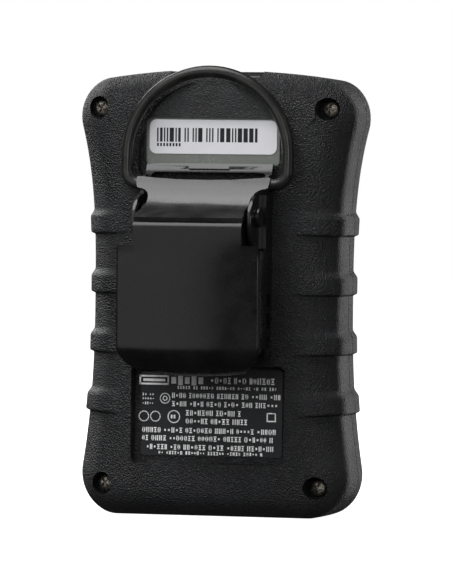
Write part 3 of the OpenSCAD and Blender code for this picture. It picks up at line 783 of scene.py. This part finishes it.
def mark_row(rng, x0, x1, z, height, stroke):
    """Unreadable marks that stand for a row of small print, read from +X to -X."""
    out, x = [], x0
    while x > x1 + 0.8:
        for _ in range(rng.randint(2, 7)):
            w = rng.uniform(0.46, 0.62) * height
            kind = rng.randint(0, 3)
            if kind in (0, 1):
                out += [(x - stroke / 2, z, stroke, height), (x - w + stroke / 2, z, stroke, height)]
            if kind in (1, 2):
                out += [(x - w / 2, z + k * (height - stroke) / 2, w, stroke) for k in (-1, 1)]
            if kind in (2, 3):
                out.append((x - w / 2, z, w * 0.6, height * 0.4))
            x -= w + 0.22
            if x < x1 + 0.5:
                return out
        x -= 0.45
    return out


def dot_circle(x, z, r, count, dot=0.2):
    """A round symbol made of small square dots."""
    return [(px, pz, dot, dot) for px, pz in circle(x, z, r, count)]


def sticker(name, w, h, cz, r, material, node, cx=0.0):
    obj = prism(name, lambda g: rounded(w, h, cz, r, g, cx=cx),
                [(BACK - POCKET_DEPTH, 0), (LABEL_TOP - 0.04, 0), (LABEL_TOP, -0.04)])
    smooth(obj)
    piece(obj, material, "case", [node])


def build_serial_label():
    """A white label with a row of bars that follow no code."""
    sticker("serial_sticker", 25.4, 6.6, 73, 1.4, white_label, "serial_label")
    rng = random.Random(7)
    boxes, x = [], 11.2
    while x > -8.6:
        w = rng.choice([0.28, 0.28, 0.3, 0.5, 0.85])
        boxes.append((x - w / 2, 73.35, w, 2.7))
        x -= w + rng.choice([0.28, 0.3, 0.36, 0.75])
    boxes += [(11.0 - 0.62 * i, 71.45, 0.36, 0.62) for i in range(8)]
    bars("serial_print", boxes, *PRINT, print_black, "white_label")


def build_info_label():
    """A grey label with rows of unreadable marks, plain symbols and dark dividing lines."""
    sticker("info_sticker", 28.2, 16.9, 20.0, 0.7, grey_label, "info_label", cx=-0.3)
    rng = random.Random(11)
    boxes = [(11.2, 26.85, 5.8, 0.35), (11.2, 25.35, 5.8, 0.35), (14.0, 26.1, 0.3, 1.8),
             (8.4, 26.1, 0.3, 1.8), (11.2, 26.1, 4.4, 0.5)]
    boxes += [(7.3 - 1.35 * i, 26.1, 0.95, 1.8 if i % 2 else 1.3) for i in range(5)]
    for row in HEADER_ROWS + SIDE_ROWS + BODY_ROWS:
        boxes += mark_row(rng, *row)
    for symbol in SYMBOLS:
        boxes += dot_circle(*symbol)
    boxes += [(-12.2, 18.6, 1.9, 0.24), (-11.4, 19.4, 0.22, 1.5), (-13.0, 19.4, 0.22, 1.5),
              (-12.2, 20.1, 1.7, 0.2)]
    bars("info_rules", [(-0.3, z, 27.4, 0.14) for z in (24.0, 20.75, 17.4, 14.0)], *PRINT, print_black,
         "grey_label")
    bars("info_print", boxes, *PRINT, print_grey, "grey_label")


# ---------------------------------------------------------------- clip: jaw, tab and ring

SHEET = 0.8
PIVOT = (BACK + 8.5, 57.8)
# Half widths of the jaw at its neck and below its shoulders, and the radius of its lower corners
NECK, JAW_HALF, JAW_CORNER = 10.65, 14.15, 5.8
SHOULDER_Z, SHOULDER_R = 52.4, 1.1
JAW_CROWN = 1.2
FLANGE_SLOPE = 62.9  # degrees by which the top flange leans back
RING_WIRE_R = 1.15
# Where the base plate's top edge begins to roll back, its height above that, and how far it rolls
ROLL_Z, ROLL_H, ROLL_BACK = 65.6, 2.3, 1.0


def jaw_rows():
    """Outer line of the jaw as (h, z, outward direction), from the weld under the tab round to the lip."""
    slope = math.radians(FLANGE_SLOPE)
    bend = arc(14.66, 55.46, 1.55, FLANGE_SLOPE, 4, 10)
    start = (bend[0][0] - 4 * math.sin(slope), bend[0][1] + 4 * math.cos(slope))
    line = [start, (start[0] * 0.5 + bend[0][0] * 0.5, start[1] * 0.5 + bend[0][1] * 0.5)] + bend
    for z in (54.6, 53.4, SHOULDER_Z, 51.1, 50.4, 49, 47, 45, 43, 41, 39, 37, 35.5, 34.4):
        line.append((16.2 + 0.3 * smoothstep(33.6, 48, z) - 0.29 * (max(z - 48, 0) / 7.46) ** 2, z))
    line += arc(10.2, 33.4, 6, 0, -100, 18)
    end, lip = line[-1], (1.8, 31.4)
    line += [(end[0] + (lip[0] - end[0]) * t, end[1] + (lip[1] - end[1]) * t) for t in (0.25, 0.5, 0.75, 1)]
    p = np.array(line)
    d = np.gradient(p, axis=0)
    n = np.stack([-d[:, 1], d[:, 0]], 1)
    return p, n / np.linalg.norm(n, axis=1)[:, None]


def jaw_section(z, under):
    """Half width, edge radius and side depth of the jaw at one height, or None in the flat neck."""
    if z > SHOULDER_Z + 0.01:
        return None
    drop = max(32.8 - z, 0)
    w = JAW_HALF - JAW_CORNER + math.sqrt(max(JAW_CORNER ** 2 - drop ** 2, 0))
    if under:
        w = min(w, 11.3)
    share = smoothstep(27.4, 34, z) if not under else 0.0
    r = 0.85 - 0.35 * share
    depth = r + 0.3 + 3.9 * share
    return w, r, depth


def half_row(section):
    """Half of one row across the jaw, as (X, how far it falls back): flat, rolled edge, side flange."""
    w, r, depth = section or (NECK, 0.0, 0.0)
    flat = min(NECK, w - r - 0.15) if section else NECK
    half = [(flat * t, 0.0) for t in np.linspace(0, 1, 9)]
    if section:
        half.append((w - r, 0.0))
        half += [(w - r + r * math.sin(t), r * (1 - math.cos(t))) for t in np.linspace(0, math.pi / 2, 8)[1:]]
        half += [(w, r + (depth - r) * t) for t in (0.34, 0.67, 1)]
    return half


def jaw_sheet():
    """The bent sheet of the jaw, with its thickness."""
    p, n = jaw_rows()
    points, index = [], {}
    lowest = int(np.argmin(p[:, 1]))
    for j, ((h, z), (nh, nz)) in enumerate(zip(p, n)):
        section = jaw_section(z, j > lowest)
        for i, (x, drop) in enumerate(half_row(section)):
            drop += JAW_CROWN * (x / JAW_HALF) ** 2 * smoothstep(56, 50, z)
            corner = max(x - JAW_HALF + SHOULDER_R, 0) if section and z > SHOULDER_Z - 0.01 else 0
            low = SHOULDER_R - math.sqrt(max(SHOULDER_R ** 2 - corner ** 2, 0.05))
            for side in (1, -1):
                if side < 0 and i == 0:
                    continue
                index[j, side * i] = len(points)
                points.append((side * x, BACK + h - nh * drop, z - nz * drop - low))
    faces = []
    widest = max(i for _, i in index)
    for j in range(len(p) - 1):
        for i in range(-widest, widest):
            corners = [(j, i), (j, i + 1), (j + 1, i + 1), (j + 1, i)]
            if all(c in index for c in corners):
                faces.append([index[c] for c in corners])
    sheet = from_lists("jaw_plate", points, faces, fix_normals=False)
    mesh = sheet.data
    upper_middle = [f for f in mesh.polygons if f.center.z > 35 * MM and abs(f.center.x) < 9 * MM]
    if sum(f.normal.y * f.area for f in upper_middle) < 0:
        mesh.flip_normals()
    solid = sheet.modifiers.new("sheet", "SOLIDIFY")
    solid.thickness, solid.offset = SHEET * MM, -1
    solid.use_even_offset = True
    apply_modifiers(sheet)
    return sheet


def jaw_ear(side):
    """One of the jaw's two ears, bored for the pin."""
    radius, foot, top = 2.4, 52.6, PIVOT[1] - 1.0
    low = math.degrees(math.asin((PIVOT[1] - top) / radius))
    outline = [(BACK + 6.1, foot), (BACK + 15.7, foot), (BACK + 15.7, top)]
    outline += arc(*PIVOT, radius, -low, 180 + low, 24) + [(BACK + 6.1, top)]
    ear = plate_x("ear", outline, side * (NECK - SHEET), side * NECK)
    hole = plate_x("hole", arc(*PIVOT, 1.25, 0, 345, 23), side * 8, side * 12)
    return boolean(ear, [hole])


def build_jaw():
    obj = join("jaw_plate", [jaw_sheet(), jaw_ear(1), jaw_ear(-1)])
    smooth(obj, 40)
    soften(obj, 0.14, 50)
    piece(obj, jaw_enamel, "clip_jaw", ["jaw"])


def sheet_point(line, s):
    """Point at arc length s along a line of (h, z) points."""
    for a, b in zip(line, line[1:]):
        length = math.dist(a, b)
        if s <= length or b == line[-1]:
            t = s / length
            return a[0] + (b[0] - a[0]) * t, a[1] + (b[1] - a[1]) * t
        s -= length


def cut_across(bm, place, direction):
    """Add a row of points where a plane crosses the mesh."""
    geom = bm.verts[:] + bm.edges[:] + bm.faces[:]
    bmesh.ops.bisect_plane(bm, geom=geom, plane_co=place, plane_no=direction)


def tab_outline(total):
    """The tab's flat blank, as (X, distance from its free edge)."""
    half = [(13.2 * t, 0.7 * (1 - t * t)) for t in np.linspace(0, 0.96, 13)]
    half += [(13.1, 0.15), (13.2, 0.5), (13.0, 1.9), (12.85, 2.3), (12.5, 2.5)]
    half += [(11.9, 2.6), (11.2, 2.9), (10.6, 3.5), (10.3, 4.3), (10.2, 5.3), (10.2, 7.6), (10.25, 8.4),
             (10.4, 9.1), (10.6, 9.7), (NECK, 10.2), (NECK, total)]
    return half + [(-x, s) for x, s in reversed(half) if x > 0]


def build_tab():
    """The thumb tab: a flat blank, cut into rows and bent along its line down to the weld on the jaw."""
    bend = chaikin([(7.7, 65.4), (8.6, 63.3), (10.2, 61.2), (13, 59), (16.9, 57)], 3)
    line = [tuple(q) for q in bend]
    weld_gap, sideways = 1.3, 0.8
    total = sum(math.dist(a, b) for a, b in zip(line, line[1:])) - weld_gap
    bm = bmesh.new()
    bm.faces.new([bm.verts.new((x, s, 0)) for x, s in tab_outline(total)])
    for s in np.concatenate([np.linspace(0.15, 4.4, 18), np.linspace(5, total - 0.2, 10)]):
        cut_across(bm, (0, s, 0), (0, 1, 0))
    for x in np.linspace(-12, 12, 13):
        cut_across(bm, (x, 0, 0), (1, 0, 0))
    for v in bm.verts:
        x, s = v.co.x, v.co.y
        h, z = sheet_point(line, s)
        x -= sideways * (1 - smoothstep(6, 9.5, s))
        sag = 0.12 * (x / 13.3) ** 2 + 0.03 * math.sin(x * 0.55 + 1.0) + 0.02 * math.sin(x * 1.3 + s * 0.4)
        v.co = Vector((x, BACK + h - sag, z)) * MM
    bmesh.ops.recalc_face_normals(bm, faces=bm.faces)
    if sum(f.normal.y * f.calc_area() for f in bm.faces) < 0:
        bmesh.ops.reverse_faces(bm, faces=bm.faces)
    obj = from_bmesh("tab_plate", bm)
    solid = obj.modifiers.new("sheet", "SOLIDIFY")
    solid.thickness, solid.offset = SHEET * MM, -1
    apply_modifiers(obj)
    smooth(obj, 35)
    soften(obj, 0.12, 50)
    piece(obj, tab_enamel, "clip_jaw", ["thumb_tab"])


def wire(name, path, radius):
    """A round wire along a list of points, with rounded ends."""
    count = 24
    p = [Vector(q) for q in path]
    reference = Vector((0, 1, 0))
    rings = []

    def ring(centre, along, r):
        u = along.cross(reference).normalized()
        v = along.cross(u).normalized()
        return [tuple(centre + r * (math.cos(t) * u + math.sin(t) * v))
                for t in np.linspace(0, math.tau, count, endpoint=False)]

    first, last = (p[1] - p[0]).normalized(), (p[-1] - p[-2]).normalized()
    for t in (0.1, 0.5, 0.85):
        rings.append(ring(p[0] + first * 0.25 * t, first, radius * math.sqrt(t) * 0.98))
    for i in range(1, len(p) - 1):
        rings.append(ring(p[i], (p[i + 1] - p[i - 1]).normalized(), radius))
    for t in (0.85, 0.5, 0.1):
        rings.append(ring(p[-1] - last * 0.25 * t, last, radius * math.sqrt(t) * 0.98))
    return loft(name, rings)


def build_ring():
    """The D-ring, from one end in its lug round to the other, leaning back a little."""
    half_w, bend, side_h = 15.95, 2.6, 5.68
    right = [(11.2, 0), (11.46, 0), (12.4, 0)]
    right += arc(half_w - bend, bend, bend, -90, 0, 10) + [(half_w, 4.2)]
    top = arc(0, side_h, half_w, 0, 180, 56)
    flat = right + top + [(-x, z) for x, z in reversed(right)]
    pivot = Vector((0, BACK + 2.4, 63.9))
    turn = Matrix.Rotation(math.radians(3), 3, "X")
    path = [pivot + turn @ Vector((x, 0, z)) for x, z in flat]
    obj = wire("hang_wire", path, RING_WIRE_R)
    smooth(obj, 50)
    piece(obj, ring_enamel, "hang_ring", ["d_ring"])


def build_clip_base():
    """The base plate with its top edge rolled back over the arch pocket."""
    bm = bmesh.new()
    bm.from_mesh(nodes["clip_base"].data)
    bmesh.ops.remove_doubles(bm, verts=bm.verts, dist=1e-6)
    bmesh.ops.dissolve_limit(bm, angle_limit=math.radians(1), verts=bm.verts, edges=bm.edges)
    for z in np.linspace(ROLL_Z, ROLL_Z + 2.2, 12):
        cut_across(bm, (0, 0, z * MM), (0, 0, 1))
    for v in bm.verts:
        if v.co.y < (BACK + 1.5) * MM and v.co.z > ROLL_Z * MM:
            v.co.y -= ROLL_BACK * MM * ((v.co.z / MM - ROLL_Z) / ROLL_H) ** 1.7
    obj = from_bmesh("clip_base_plate", bm)
    smooth(obj, 35)
    soften(obj, 0.12, 40)
    piece(obj, clip_enamel, "case", ["clip_base"])


# ---------------------------------------------------------------- CAD nodes that stay

# Node, material and the width in millimetres of the rounding on its edges
DRESSED = [
    ("hinge_bracket", clip_enamel, 0.12), ("bracket_rivets", clip_enamel, 0.1),
    ("clip_screws", clip_enamel, 0.08), ("pivot_pin", clip_enamel, 0.12),
    ("torsion_spring", bright_steel, 0), ("alarm_window", smoked_plastic, 0.15),
    ("face_plate", face_plastic, 0.12), ("display_lens", lens_clear, 0.1),
    ("display_glass", lcd_glass, 0.1), ("display_frame", white_plastic, 0.1),
    ("push_button", button_rubber, 0.3), ("inlet_ring", grille_plastic, 0.12),
    ("horn_grille", grille_plastic, 0.08), ("dust_filter", filter_fabric, 0.05),
    ("sensor_gasket", seal_rubber, 0), ("sensor_cell", bright_steel, 0.2),
    ("sensor_pad", seal_rubber, 0), ("buzzer", buzzer_plastic, 0.15),
    ("circuit_board", board_green, 0), ("board_screws", bright_steel, 0),
    ("alarm_leds", led_plastic, 0), ("battery", battery_sleeve, 0.3),
    ("battery_tabs", bright_steel, 0), ("vibration_motor", bright_steel, 0),
    ("case_seal", seal_rubber, 0), ("case_inserts", brass, 0),
    ("clip_inserts", brass, 0), ("button_switch", white_plastic, 0.1),
]


def build_display_segments():
    """Faint unlit seven-segment digits and a decimal point under the display window."""
    boxes = []
    for k in range(3):
        x = 7.0 - 6.2 * k
        boxes += [(x, z, 2.4, 0.55) for z in (46, 42.2, 38.4)]
        boxes += [(x + sx * 1.75, z, 0.55, 2.9) for sx in (-1, 1) for z in (44.1, 40.3)]
    boxes.append((-9.0, 38.3, 0.6, 0.6))
    bars("display_segments", boxes, -9.63, -9.59, segment_grey, "display_window")


# ---------------------------------------------------------------- floor


def build_floor():
    """A pale disc just under the object, left out of its reflections and bounced light."""
    count, radius, drop = 64, 2500, 0.06
    points = [(x, y, -drop) for x, y in circle(0, 0, radius, count)]
    obj = from_lists("studio_floor", points, [tuple(range(count))])
    s = Shader("pale_floor", (0.8, 0.8, 0.8), 0.9, specular=0.0)
    s.base.inputs["Emission Color"].default_value = (1, 1, 1, 1)
    s.base.inputs["Emission Strength"].default_value = 1.0
    obj.data.materials.append(s.material)
    obj.visible_glossy = False
    obj.visible_diffuse = False


# ---------------------------------------------------------------- the whole object

fine_outline, coarse_outline = case_outline(), case_outline(step=6, corner=5)
build_back_shell(fine_outline, coarse_outline)
build_front_shell(fine_outline, coarse_outline)
build_case_screws()
build_serial_label()
build_info_label()
build_jaw()
build_tab()
build_ring()
build_clip_base()
for node, material, width in DRESSED:
    dress(node, material, width)
build_display_segments()
build_floor()
